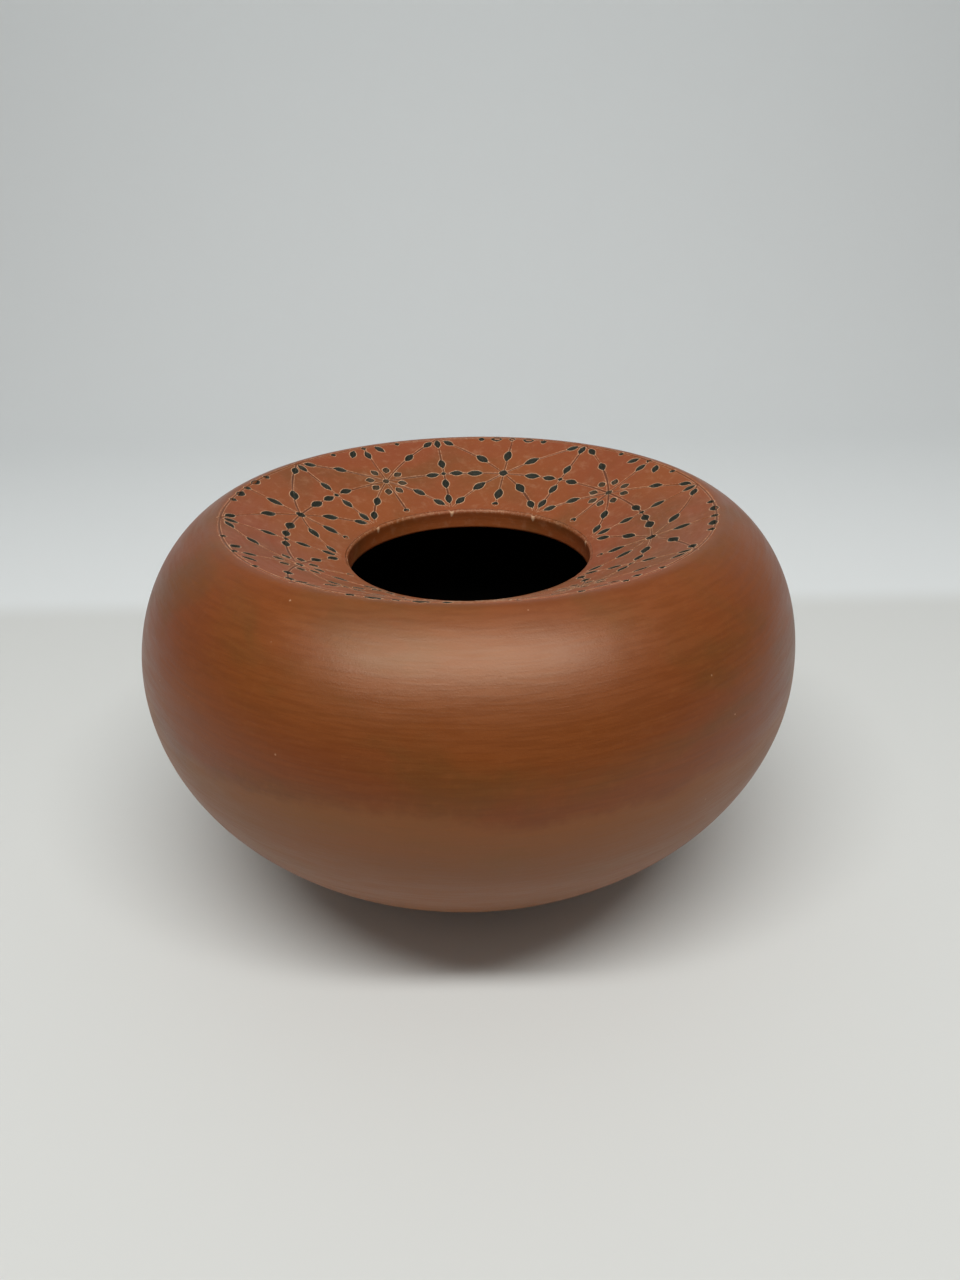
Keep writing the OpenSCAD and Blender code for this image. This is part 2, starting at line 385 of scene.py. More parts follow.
# %% [markdown]
# ### Grit and pores
#
# Crushed rock mixed into the clay shows as a few pale specks where the stone dragged them to
# the surface. Between them the skin has fine pores. Cells of a Voronoi texture give separate
# specks, and a noise switches most of them off.

# %% Grit and pores
grit, taken, given = new_group("Grit", {"Place": "Vector"}, {"Speck": "Float"})
cells = add(grit, "TexVoronoi", {"Vector": taken["Place"], "Scale": 1 / (5.2 * MM)})
near = spread(grit, cells.outputs["Distance"], 0.03, 0.07, 1, 0)
kept = spread(grit, clouds(grit, taken["Place"], 7.0, 1), 0.58, 0.64)
grit.links.new(sums(grit, "MULTIPLY", near, kept), given["Speck"])

pores, taken, given = new_group("Pores", {"Place": "Vector"}, {"Height": "Float"})
skin = clouds(pores, taken["Place"], 0.55, 3, 0.65)
soft = clouds(pores, taken["Place"], 6.0, 2, 0.5)
both = sums(pores, "MULTIPLY_ADD", soft, 2.2, skin)
pores.links.new(both, given["Height"])

# %% [markdown]
# ## Burnished clay
#
# The wall is the pot's own clay, polished with a stone. Its colour comes from the kiln clouds,
# the strokes darken and shine it in level lines, and near the foot, where the stone stops, it
# is more matt and painted paler: partly unrubbed clay, partly a painted reflection of the pale
# floor. The gloss is a broad satin one, so the roughness stays near 0.4.

# %% Colours of the clay, and the level that the stone and the painted floor reflection reach
RUBBED_AND_REFLECTION_FROM, RUBBED_AND_REFLECTION_FULL, RAGGED_BY = 83, 88, 26
ORANGE = clay(127, 64, 15)
RED = clay(122, 59, 17)
OLIVE = clay(108, 64, 18)
ASHEN = clay(132, 73, 28)
STROKE_DARK = clay(88, 40, 11)
# Paler low-wall colour: partly unrubbed clay, partly painted reflection of the pale floor.
UNRUBBED_AND_FLOOR_REFLECTION = clay(140, 86, 42)
BUFF = clay(196, 156, 122)
PINK = clay(137, 70, 26)
ROSE = clay(133, 63, 30)
DUSK = clay(108, 64, 24)
SLIP_ASH = clay(146, 86, 50)
# Dark groove colour: partly stain, partly painted shade in the recess.
GROOVE_STAIN_AND_SHADE = clay(84, 46, 30)
BLACK = clay(30, 33, 25)
THIN_BLACK = clay(92, 68, 44)


def new_finish(name):
    """An empty material with its Principled node and its output joined."""
    finish = bpy.data.materials.new(name)
    finish.use_nodes = True
    tree = finish.node_tree
    return finish, tree, tree.nodes["Principled BSDF"]


def burnished_look(tree):
    """Colour, gloss and height of the burnished clay, at a place on the pot."""
    place = add(tree, "TexCoord").outputs["Object"]
    colour = placed_group(tree, kiln_clouds, {
        "Place": place, "Clay": ORANGE, "Flame": RED, "Smoke": OLIVE, "Ash": ASHEN,
    })["Color"]
    strokes = placed_group(tree, burnish_strokes, {"Place": place})
    speck = placed_group(tree, grit, {"Place": place})["Speck"]
    skin = placed_group(tree, pores, {"Place": place})["Height"]
    colour = tinted(tree, spread(tree, strokes["Stroke"], 0, 1, 0.0, 0.22), colour, STROKE_DARK)
    colour = tinted(tree, sums(tree, "MULTIPLY", speck, 0.6), colour, BUFF)
    height = add(tree, "SeparateXYZ", {0: place}).outputs[2]
    ragged = sums(tree, "MULTIPLY_ADD", clouds(tree, place, 40, 5, 0.62), RAGGED_BY * MM, height)
    rubbed_above_floor_reflection = spread(tree, ragged, RUBBED_AND_REFLECTION_FROM * MM, RUBBED_AND_REFLECTION_FULL * MM)
    # Painted reflection: below a ragged level the wall is mixed toward a paler colour, partly
    # unrubbed clay and partly the pale floor's reflection painted on.
    colour = tinted(tree, sums(tree, "MULTIPLY_ADD", rubbed_above_floor_reflection, -0.55, 0.55), colour, UNRUBBED_AND_FLOOR_REFLECTION)
    gloss = spread(tree, strokes["Stroke"], 0, 1, 0.44, 0.38)
    gloss = sums(tree, "MULTIPLY_ADD", strokes["Band"], -0.04, gloss)
    gloss = sums(tree, "MULTIPLY_ADD", rubbed_above_floor_reflection, -0.06, sums(tree, "ADD", gloss, 0.06))
    bumps = sums(tree, "MULTIPLY_ADD", strokes["Stroke"], 0.5, skin)
    return place, colour, gloss, bumps


burnished, tree, shader = new_finish("Burnished clay")
place, colour, gloss, bumps = burnished_look(tree)
relief = add(tree, "Bump", {"Strength": 0.22, "Distance": 0.12 * MM, "Height": bumps})
tree.links.new(colour, shader.inputs["Base Color"])
tree.links.new(gloss, shader.inputs["Roughness"])
tree.links.new(relief.outputs[0], shader.inputs["Normal"])
shader.inputs["Specular IOR Level"].default_value = 0.45
shader.inputs["Specular Tint"].default_value = (1, 0.9, 0.76, 1)
print("finish:", burnished.name, len(tree.nodes), "nodes")

# %% [markdown]
# ## Matt slip on the collar
#
# The collar was brushed with a thin pinkish slip and left matt, then cut. The carving below
# keeps four numbers at each vertex: where the slip ends on the crest, where a cut's edge shows
# bare pale clay and a line's ridges are painted pale, partly as painted highlight, where a
# line's groove is painted dark, partly stain and partly painted shade, and where black was
# rubbed in. The material lays these over the slip's colour in that order, and small noises
# make each edge ragged.

# %% Matt slip


def mark_of(tree, name):
    return add(tree, "Attribute", attribute_name=name).outputs["Fac"]


slipped, tree, shader = new_finish("Matt slip")
place, under, under_gloss, bumps = burnished_look(tree)
slip = placed_group(tree, kiln_clouds, {
    "Place": place, "Clay": PINK, "Flame": ROSE, "Smoke": DUSK, "Ash": SLIP_ASH,
})["Color"]
crumbs = clouds(tree, place, 0.9, 3, 0.6)
edge_worn = sums(tree, "MULTIPLY_ADD", crumbs, 0.9, -0.45)
cover = spread(tree, sums(tree, "ADD", mark_of(tree, "slip"), edge_worn), 0.3, 0.7)
colour = tinted(tree, cover, under, slip)
dry = spread(tree, clouds(tree, place, 3.5, 4, 0.65), 0.5, 0.75, 0, 0.14)
colour = tinted(tree, sums(tree, "MULTIPLY", dry, cover), colour, BUFF)
# Pale marks: bare clay at the cuts' edges and the lip's nicks, painted highlight on the lines'
# ridges and the lip's top.
bare_and_highlight = sums(tree, "MULTIPLY_ADD", crumbs, 0.8, mark_of(tree, "bare_and_highlight"))
bare_and_highlight = spread(tree, bare_and_highlight, 0.5, 1.05, 0, 0.9)
colour = tinted(tree, bare_and_highlight, colour, BUFF)
# Painted shade in part: the lines' grooves are darkened, partly stain and partly painted shade.
groove_stain_and_shade = sums(tree, "MULTIPLY_ADD", crumbs, 0.3, mark_of(tree, "groove"))
groove_stain_and_shade = spread(tree, groove_stain_and_shade, 0.45, 0.95, 0, 0.85)
colour = tinted(tree, groove_stain_and_shade, colour, GROOVE_STAIN_AND_SHADE)
rubbed_in = sums(tree, "MULTIPLY_ADD", crumbs, 0.5, mark_of(tree, "black"))
rubbed_in = spread(tree, rubbed_in, 0.55, 0.85)
colour = tinted(tree, rubbed_in, colour, BLACK)
gloss = sums(tree, "MULTIPLY_ADD", cover, 0.13, under_gloss)
relief = add(tree, "Bump", {"Strength": 0.3, "Distance": 0.12 * MM, "Height": bumps})
tree.links.new(colour, shader.inputs["Base Color"])
tree.links.new(gloss, shader.inputs["Roughness"])
tree.links.new(relief.outputs[0], shader.inputs["Normal"])
shader.inputs["Specular IOR Level"].default_value = 0.38
shader.inputs["Specular Tint"].default_value = (1, 0.92, 0.8, 1)
print("finish:", slipped.name, len(tree.nodes), "nodes")

# %% [markdown]
# ## The black finishes
#
# Two blacks are on the pot. The stain in the cuts is a dark slip rubbed in by hand, greenish
# and dull, with brown where it is thin, as it is in the small petals. The inside is coated
# with soot black that takes almost no gloss, so the mouth reads as a black hole.

# %% Black stain and soot
stain, tree, shader = new_finish("Black stain")
place = add(tree, "TexCoord").outputs["Object"]
thin = clouds(tree, place, 1.3, 3, 0.6)
colour = tinted(tree, spread(tree, thin, 0.55, 0.78, 0, 0.7), BLACK, clay(74, 58, 42))
worn = sums(tree, "MULTIPLY", mark_of(tree, "worn"), spread(tree, thin, 0.3, 0.6, 0.5, 1))
colour = tinted(tree, worn, colour, THIN_BLACK)
colour = tinted(tree, spread(tree, clouds(tree, place, 0.7, 2), 0.6, 0.75, 0, 0.5), colour,
                clay(56, 62, 54))
relief = add(tree, "Bump", {"Strength": 0.5, "Distance": 0.12 * MM,
                            "Height": clouds(tree, place, 0.5, 3, 0.6)})
tree.links.new(colour, shader.inputs["Base Color"])
tree.links.new(spread(tree, thin, 0.3, 0.7, 0.6, 0.8), shader.inputs["Roughness"])
tree.links.new(relief.outputs[0], shader.inputs["Normal"])
shader.inputs["Specular IOR Level"].default_value = 0.25

soot, tree, shader = new_finish("Soot coat")
place = add(tree, "TexCoord").outputs["Object"]
cloud = clouds(tree, place, 12, 4, 0.6)
colour = tinted(tree, spread(tree, cloud, 0.4, 0.7), clay(7, 8, 7), clay(14, 13, 12))
relief = add(tree, "Bump", {"Strength": 0.3, "Distance": 0.2 * MM,
                            "Height": clouds(tree, place, 1.5, 3, 0.6)})
tree.links.new(colour, shader.inputs["Base Color"])
tree.links.new(spread(tree, cloud, 0.3, 0.7, 0.8, 0.95), shader.inputs["Roughness"])
tree.links.new(relief.outputs[0], shader.inputs["Normal"])
shader.inputs["Specular IOR Level"].default_value = 0.15
print("finishes:", stain.name, "and", soot.name)

# %% [markdown]
# ## The wall
#
# The foot, the lower wall and the shoulder were joined wet and rubbed over, so on the finished
# pot they are one skin. One outline runs from under the foot, over the belly and the crest,
# and back down the inside. At the collar it dips under the collar's skin along a curve that
# starts level with it, so that the two pieces meet with no ledge and no crease.

# %% The wall's outline
FOOT_HOLLOW, FOOT_MID_R, FOOT_RING_IN, FOOT_RING_RISE = 0.3, 14, 26.0, 2.5
FOOT_LIFT, FOOT_ROUND = 0.08, 1.6
TUCK_W, TUCK = 1.6, 0.12


def tuck_down(past):
    """How far a skin dips below the shared surface this far past its seam."""
    return TUCK * (past / TUCK_W) ** 2


def foot_side():
    """The underside of the foot and its rounded edge, out to the lower wall."""
    start = asin((BELLY_H - FOOT_ROUND) / low_b)
    edge_r, edge_z = low_point(start)
    round_part = [
        (FOOT_R - FOOT_ROUND + (edge_r - FOOT_R + FOOT_ROUND) * sin(a), edge_z * (1 - cos(a)))
        for a in steps(0, pi / 2, 7)
    ]
    return [(0, FOOT_HOLLOW), (FOOT_MID_R, FOOT_HOLLOW), (FOOT_RING_IN, FOOT_HOLLOW),
            (FOOT_RING_IN + FOOT_RING_RISE, FOOT_LIFT)] + round_part, start


foot_part, foot_turn = foot_side()
outer = foot_part + [low_point(a) for a in steps(foot_turn, 0, 64)[1:]]
outer += [up_point(a) for a in steps(0, crest_turn, 44)[1:]]
outer += [crest_point(a) for a in steps(crest_lean, joint_lean, 8)[1:]]
for past in steps(0, TUCK_W, 6)[1:]:
    outer.append(crest_point(joint_lean - past / CREST_ROUND, tuck_down(past)))
floor_turn = asin((BELLY_H - FLOOR_T) / (low_b - WALL))
inner = [up_point(a, WALL) for a in steps(corner_turn(0), 0, 24)]
inner += [low_point(a, WALL) for a in steps(0, floor_turn, 34)[1:]]
inner.append((0, FLOOR_T))

# %% Spin the wall
WALL_STEPS = 368
bm = turned(outer + inner, WALL_STEPS)
mesh = as_mesh(bm, "pot_wall")
write_points(mesh, hand_moved(read_points(mesh)))
placed(mesh, "pot_wall", burnished, ["foot_disc", "lower_wall", "shoulder_wall"])

# %% [markdown]
# ## The pattern
#
# The collar's pattern is laid out as its maker would: eight uprights around, a ring half way
# up, and straight lines from each end of the uprights to the next star or flower. A place is
# [angle, share]: degrees clockwise from the back, and a share from 0 at the mouth's edge to 1
# at the edge line. A cut is a leaf with its place, its turn, its length and its width.

# %% Places and cuts
REPEATS, FIRST_STAR = 4, 13.0
UNIT = 360 / REPEATS
MID, EDGE, OUTER_HUB, INNER_HUB = 0.5, 0.985, 1.0, 0.03
CUT_DEPTH, HAND_SHIFT, FLOWER_R = 0.8, 0.2, 5.8
LEAF_L, LEAF_W, PETAL = 5.2, 2.3, (3.0, 1.9)
LIP_DOT_GAP = 0.66
LIP_DOTS = (LIP_W + LIP_DOT_GAP * LEAF_W) / COLLAR_W


def sized(size, by):
    return (size[0] * by, size[1] * by)


LEAF = (LEAF_L, LEAF_W)
SHORT_LEAF = sized(LEAF, 0.84)
BIG_DOT = (LEAF_W * 1.3, LEAF_W * 1.1)
LYING_DOT = (LEAF_L * 0.75, LEAF_W * 0.95)
SMALL_DOT = (LEAF_W * 0.8, LEAF_W * 0.65)


def ring_r(share):
    return MOUTH_R + share * (COLLAR_R - MOUTH_R)


def around(length, share):
    """A length along a ring as an angle in degrees."""
    return degrees(length / ring_r(share))


def wander(i, k):
    return HAND_SHIFT * sin(radians(97 * i + 131 * k))


def cut(at, turn, size, i):
    """One cut, a little off its place as hand work is."""
    return (at[0] + around(wander(i, 1), at[1]), at[1] + wander(i, 2) / COLLAR_W,
            turn + 18 * wander(i, 3), size[0], size[1])


def cut_on(start, end, part, size, i):
    """A cut that lies along the line between two places."""
    at = [start[k] + part * (end[k] - start[k]) for k in (0, 1)]
    rise, run = (end[1] - start[1]) * COLLAR_W, (end[0] - start[0]) / around(1, at[1])
    return cut(at, degrees(atan2(rise, run)), size, i)


# %% The motifs
SIDES = (-1, 1)


def starburst(at):
    c = (at, MID)
    made = [cut(c, 0, BIG_DOT, at), cut_on(c, (at, EDGE), 0.49, LEAF, at),
            cut_on(c, (at, LIP_DOTS), 0.67, LEAF, at + 1)]
    for side in SIDES:
        beside = at + side * UNIT / 4
        made += [cut_on(c, (beside, MID), 0.49, LEAF, at + 2 * side),
                 cut_on(c, (beside, OUTER_HUB), 0.385, LEAF, at + 3 * side),
                 cut_on(c, (beside, INNER_HUB), 0.385, LEAF, at + 4 * side)]
    return made


def ring_flower(at):
    made = [cut((at, MID), 0, sized(SMALL_DOT, 1.2), at)]
    for k in range(8):
        ray = 45 * k + 22.5
        side, rise = FLOWER_R * cos(radians(ray)), FLOWER_R * sin(radians(ray))
        made.append(cut((at + around(side, MID), MID + rise / COLLAR_W), ray, PETAL, at + k))
    return made


def cross(at):
    c, beside = (at, MID), UNIT / 4
    return [cut(c, 0, sized(SMALL_DOT, 0.8), at),
            cut_on(c, (at + beside, MID), 0.205, SHORT_LEAF, at + 1),
            cut_on(c, (at - beside, MID), 0.205, SHORT_LEAF, at + 2),
            cut_on(c, (at, OUTER_HUB), 0.28, SHORT_LEAF, at + 3),
            cut_on(c, (at, INNER_HUB), 0.29, SHORT_LEAF, at + 4)]


def fan(at, hub, straight, slanted, size):
    return [cut_on((at, hub), (at + side * UNIT / 4, MID), straight if side == 0 else slanted,
                   size, at + side) for side in (-1, 0, 1)]


def link_leaves(at, side):
    flower = (at + side * UNIT / 4, MID)
    return [cut_on((at, OUTER_HUB), flower, 0.46, SHORT_LEAF, at + side),
            cut_on((at, INNER_HUB), flower, 0.55, SHORT_LEAF, at - side)]


def edge_dots(star, flower):
    made = [cut((star + k * UNIT * 0.052, EDGE), 0,
                LYING_DOT if k % 2 else sized(SMALL_DOT, 1.15), star + k) for k in range(-2, 3)]
    made.append(cut((flower, 0.88), 90, sized(SHORT_LEAF, 0.9), flower))
    for side in SIDES:
        made += [cut((flower + side * UNIT * 0.049, 0.935), -side * 52,
                     sized(SHORT_LEAF, 0.9), flower + side),
                 cut((flower + side * UNIT * 0.113, EDGE), 0, sized(SMALL_DOT, 0.9),
                     flower + 2 * side)]
    return made + [cut((flower, EDGE + 0.005), 0, sized(SMALL_DOT, 0.9), flower + 3)]


# %% Lay out every motif
stars = [FIRST_STAR + UNIT * k for k in range(REPEATS)]
flowers = [at + UNIT / 2 for at in stars]
crosses = [FIRST_STAR + UNIT * (k / 2 + 0.25) for k in range(2 * REPEATS)]
toward_flower = [1 if k % 2 == 0 else -1 for k in range(2 * REPEATS)]

cuts = {
    "starburst_stain": [c for at in stars for c in starburst(at)],
    "ring_flower_stain": [c for at in flowers for c in ring_flower(at)],
    "cross_stain": [c for at in crosses for c in cross(at)],
    "outer_fan_stain": [c for at in crosses
                        for c in fan(at, OUTER_HUB, 0.155, 0.14, sized(SHORT_LEAF, 0.9))],
    "inner_fan_stain": [c for at in crosses
                        for c in fan(at, INNER_HUB, 0.285, 0.225, sized(SHORT_LEAF, 0.95))],
    "link_leaf_stain": [c for at, side in zip(crosses, toward_flower)
                        for c in link_leaves(at, side)],
    "edge_dot_stain": [c for at in stars for c in edge_dots(at, at + UNIT / 2)],
    "lip_dot_stain": [cut((at, LIP_DOTS), 90, SMALL_DOT, at) for at in stars + flowers],
}
every_cut = [c for group in cuts.values() for c in group]

uprights = [((at, EDGE), (at, LIP_DOTS)) for at in stars + flowers]
uprights += [((at, OUTER_HUB), (at, INNER_HUB)) for at in crosses]
slants = [((at, hub), (at + side * UNIT / 4, MID))
          for at in crosses for hub in (OUTER_HUB, INNER_HUB) for side in SIDES]
print(len(every_cut), "cuts and", len(uprights + slants), "lines")

# %% [markdown]
# ## Carving
#
# A leaf is two strokes of a small curved blade that meet in points at both ends, so its floor
# is rounded and its sides are steep. The blade pushes up a low burr around it. The lines were
# scratched before with a needle. Both are depths that depend only on how far a vertex is from
# the cut's edge or the line, so a fine skin can be pressed down vertex by vertex, as in
# sculpting. Clay pushed aside by the needle stands as a faint ridge on each side of its line.

# %% Depths of cuts and lines
CUT_WALL, BURR, BURR_OUT = 0.5, 0.08, 0.42
BURR_HALF, BARE_HALF = 0.16, 0.14
LINE_HALF, LINE_DEPTH = 0.24, 0.24
RIDGE_OUT, RIDGE_HALF, RIDGE = 0.42, 0.14, 0.03
EDGE_WOBBLE, LINE_WOBBLE = 0.09, 0.16
CUT_REACH = (6, 5)


def leaf_inside(u, v, length, width):
    """How far inside a leaf's edge a point is, in millimetres; negative outside."""
    return (1 - (2 * u / length) ** 2) * width / 2 - np.abs(v)


def cut_floor(inside):
    """Depth below the skin for a place this far inside a cut's edge."""
    return CUT_DEPTH * ease(-0.1, CUT_WALL, inside)


def line_distance(turn, along, start, end):
    """Distance from the straight line between two places, and how far outside its ends."""
    r = MOUTH_R + along * cos(SLOPE)
    side = (turn - start[0] + 180) % 360 - 180
    x, y = np.radians(side) * r, along - start[1] * COLLAR_W
    dx, dy = np.radians(end[0] - start[0]) * r, (end[1] - start[1]) * COLLAR_W
    length = np.hypot(dx, dy)
    part = (x * dx + y * dy) / length**2
    beyond = np.maximum(np.maximum(-part, part - 1), 0) * length
    return np.abs(x * dy - y * dx) / length, beyond


# %% [markdown]
# ## The carved collar
#
# The collar's skin needs a point about every quarter of a millimetre, to hold the cuts and the
# fine lines, which is too many for one piece, so it is made as four equal quarters that meet in
# plain clay between the motifs. One quarter is spun from its outline and closed at both ends,
# and each copy is turned to its place and carved there.

# %% One plain quarter
SKIN_STEP, QUARTERS, QUARTER_STEPS = 0.2, 4, 432
SPLIT = FIRST_STAR + 30.4
arc_w = (SLOPE + joint_lean) * CREST_ROUND
full_w = FLAT_W + arc_w


def skin_point(along, under=0.0):
    """A point of the collar's skin: the slope, then the crest's curve."""
    if along <= FLAT_W:
        return collar_point(along, under)
    return crest_point((along - FLAT_W) / CREST_ROUND - SLOPE, under)


skin_from, skin_to = LIP_W - TUCK_W, full_w + TUCK_W
skin = []
for along in steps(skin_from, skin_to, ceil((skin_to - skin_from) / SKIN_STEP)):
    past = max(LIP_W - along, along - full_w, 0)
    skin.append(skin_point(along, tuck_down(past)))
UNDER_MID = 14
deep = [skin_point(skin_to, 2.5), up_point(corner_turn(0), WALL),
        collar_point(LIP_W + UNDER_MID, COLLAR_T), collar_point(LIP_W, COLLAR_T),
        collar_point(LIP_W, 2.0), collar_point(skin_from, 1.2)]

bm = turned(skin + deep, QUARTER_STEPS, -2 * pi / QUARTERS)
open_edges = [e for e in bm.edges if e.is_boundary]
ends = bmesh.ops.holes_fill(bm, edges=open_edges, sides=0)["faces"]
for face in ends:
    for edge in face.edges:
        edge.smooth = False
bmesh.ops.recalc_face_normals(bm, faces=bm.faces)
quarter_mesh = as_mesh(bm, "collar_quarter")
quarter = read_points(quarter_mesh)
print("plain quarter:", len(quarter), "points,", len(ends), "closed ends")

# %% Carve a quarter
skin_r = np.array([p[0] for p in skin])
skin_z = np.array([p[1] for p in skin])
skin_along = np.linspace(skin_from, skin_to, len(skin))


def pressed(turn, along, r):
    """Depth and the four marks for points of the skin, by every cut and line near them."""
    inside = np.full(len(turn), -9.0)
    for at, share, tilt, length, width in every_cut:
        centre_r = ring_r(share)
        gap = np.radians((turn - at + 180) % 360 - 180)
        close = (np.abs(gap) < CUT_REACH[0] / centre_r) & (np.abs(r - centre_r) < CUT_REACH[1])
        x = r[close] * np.sin(gap[close])
        y = (r[close] * np.cos(gap[close]) - centre_r) / cos(SLOPE)
        c, s = cos(radians(tilt)), sin(radians(tilt))
        found = leaf_inside(c * x + s * y, c * y - s * x, length, width)
        inside[close] = np.maximum(inside[close], found)
    px, py = r * np.sin(np.radians(turn)), r * np.cos(np.radians(turn))
    inside += EDGE_WOBBLE * ripple(px, py, 0, 1.7, 4.0)
    apart = np.minimum(np.abs(along - COLLAR_W), np.abs(along - MID * COLLAR_W))
    shaky = LINE_WOBBLE * ripple(px, py, 0, 9.0, 1.0)
    for start, end in uprights + slants:
        off, beyond = line_distance(turn, along, start, end)
        apart = np.minimum(apart, np.hypot(off, np.maximum(beyond - 0.5, 0)))
    apart = np.abs(apart + shaky * (apart < 3))
    # This line mask darkens the groove in the material: partly stain, partly painted shade.
    line = np.exp(-((apart / LINE_HALF) ** 2)) * ease(-0.15, -0.45, inside)
    ridge = np.exp(-(((apart - RIDGE_OUT) / RIDGE_HALF) ** 2)) * ease(-0.1, -0.4, inside)
    burr = BURR * np.exp(-(((inside + BURR_OUT) / BURR_HALF) ** 2))
    near_flower = np.zeros(len(turn))
    for at in flowers:
        gap = np.radians((turn - at + 180) % 360 - 180)
        from_middle = np.hypot(r * np.sin(gap), r * np.cos(gap) - ring_r(MID))
        near_flower = np.maximum(near_flower, ease(FLOWER_R + 3, FLOWER_R + 1.5, from_middle))
    depth = cut_floor(inside) + LINE_DEPTH * line - burr - RIDGE * ridge
    edge = np.exp(-(((inside + BURR_OUT) / BARE_HALF) ** 2))
    # Pale bare clay at the cuts' edges; the pale on the lines' ridges is partly painted
    # highlight.
    bare_and_highlight = np.clip((0.85 + 0.1 * near_flower) * edge + 0.45 * ridge, 0, 1)
    black = ease(-BURR_OUT + 0.02, -BURR_OUT + 0.2, inside) * (1 - 0.2 * near_flower)
    return depth, bare_and_highlight, line, black


def carved(points):
    """A plain quarter's points pressed down by the pattern, and its marks."""
    x, y, z = points.T
    r = np.hypot(x, y)
    turn = np.degrees(np.arctan2(x, y)) % 360
    on_skin = z > np.interp(r, skin_r, skin_z) - 0.3
    along = np.interp(r, skin_r, skin_along)
    depth, bare_and_highlight, line, black = pressed(turn, along, r)
    fade = ease(LIP_W - 0.2, LIP_W + 0.6, along) * ease(full_w, full_w - 0.5, along) * on_skin
    lean = np.where(along < FLAT_W, -SLOPE, (along - FLAT_W) / CREST_ROUND - SLOPE)
    depth = depth * fade
    moved = points.copy()
    moved[:, 0] -= depth * np.sin(lean) * x / r
    moved[:, 1] -= depth * np.sin(lean) * y / r
    moved[:, 2] -= depth * np.cos(lean)
    slip = ease(COLLAR_R + 1.5, COLLAR_R + 0.3, r)
    return moved, {"bare_and_highlight": bare_and_highlight * fade, "groove": line * fade, "black": black * fade,
                   "slip": slip}


for k in range(QUARTERS):
    start = radians(-(SPLIT + 360 / QUARTERS * k))
    c, s = cos(start), sin(start)
    turned_round = quarter @ np.array([[c, s, 0], [-s, c, 0], [0, 0, 1]])
    moved, marks = carved(turned_round)
    name = "carved_collar_%d" % (k + 1)
    mesh = quarter_mesh.copy()
    mesh.name = name
    write_points(mesh, hand_moved(moved))
    for key, values in marks.items():
        mark(mesh, key, values)
    placed(mesh, name, slipped, ["dished_collar"])

# %% [markdown]
# ## The lip
#
# The mouth was finished with a thin coil pressed on and rounded with a wet finger. It is pink
# with slip, with a pale line painted along its top as a painted highlight. Where each fan's hub
# meets it, the needle left a small nick.

# %% Turn the lip and nick it
lip_mid = (MOUTH_R + LIP_ROUND, mouth_z + LIP_ROUND * (tan(SLOPE) - 1 / cos(SLOPE)))
round_from = pi / 2 + SLOPE
lip = [collar_point(LIP_W, 2.4)]
lip += [collar_point(LIP_W + past, tuck_down(past)) for past in steps(TUCK_W, 0, 6)]
lip += [collar_point(a) for a in steps(LIP_W, 0.75, 5)[1:]]
lip += [(lip_mid[0] + LIP_ROUND * cos(a), lip_mid[1] + LIP_ROUND * sin(a))
        for a in steps(round_from, pi, 10)]
wall_top, wall_foot = lip[-1][1], under_collar(MOUTH_R, COLLAR_T)
lip += [(MOUTH_R + 0.12 * sin(4 * t), wall_top + (wall_foot - wall_top) * t)
        for t in steps(0, 1, 9)[1:]]
lip += [(MOUTH_R + 1.6, wall_foot), collar_point(LIP_W, COLLAR_T)]

# %% Spin the lip
NICK_HALF, NICK_DEPTH, LIP_STEPS, LIP_UNEVEN = 0.5, 0.35, 608, 0.12
bm = turned(lip, LIP_STEPS)
mesh = as_mesh(bm, "mouth_lip")
points = read_points(mesh)
x, y, z = points.T
r = np.hypot(x, y)
turn = np.degrees(np.arctan2(x, y)) % 360
nick = np.zeros(len(r))
for at in crosses:
    off = np.radians((turn - at + 180) % 360 - 180) * r
    nick = np.maximum(nick, np.exp(-((off / NICK_HALF) ** 2)))
nick *= ease(MOUTH_R + 2.6, MOUTH_R + 1.2, r) * ease(mouth_z - 2.6, mouth_z - 0.8, z)
uneven = LIP_UNEVEN * ripple(x, y, z, 14, 3.0) * ease(MOUTH_R + 2, MOUTH_R + 0.8, r)
points[:, 2] -= NICK_DEPTH * nick
points[:, 0] += x / r * uneven
points[:, 1] += y / r * uneven
write_points(mesh, hand_moved(points))
# Painted highlight: a pale line painted along the lip's top.
lip_top_highlight = ease(mouth_z - 1.2, mouth_z - 0.5, z) * ease(MOUTH_R + 1.2, MOUTH_R + 0.6, r)
mark(mesh, "bare_and_highlight", np.clip(0.2 * lip_top_highlight + 0.8 * nick, 0, 1))
mark(mesh, "slip", np.ones(len(r)))
mark(mesh, "groove", np.zeros(len(r)))
mark(mesh, "black", np.zeros(len(r)))
placed(mesh, "mouth_lip_ring", slipped, ["mouth_lip"])

# %% [markdown]
# ## The black inside
#
# The inside was coated black and never rubbed. It is a thin skin on the wall from the lip's
# lower edge down to the floor, turned like the wall.

# %% Turn the coat
def coat_side(inward):
    r = MOUTH_R + COAT_T
    turn_to = asin((BELLY_H - FLOOR_T - inward) / (low_b - WALL - inward))
    side = [(r, under_collar(r, COLLAR_T + inward))]
    side += [up_point(a, WALL + inward) for a in steps(corner_turn(inward), 0, 24)]
    return side + [low_point(a, WALL + inward) for a in steps(0, turn_to, 30)[1:]]


COAT_STEPS = 192
coat = [(0, FLOOR_T)] + coat_side(0)[::-1] + coat_side(COAT_T) + [(0, FLOOR_T + COAT_T)]
mesh = as_mesh(turned(coat, COAT_STEPS), "black_coat")
write_points(mesh, hand_moved(read_points(mesh)))
placed(mesh, "black_coat", soot, ["inner_coat"])

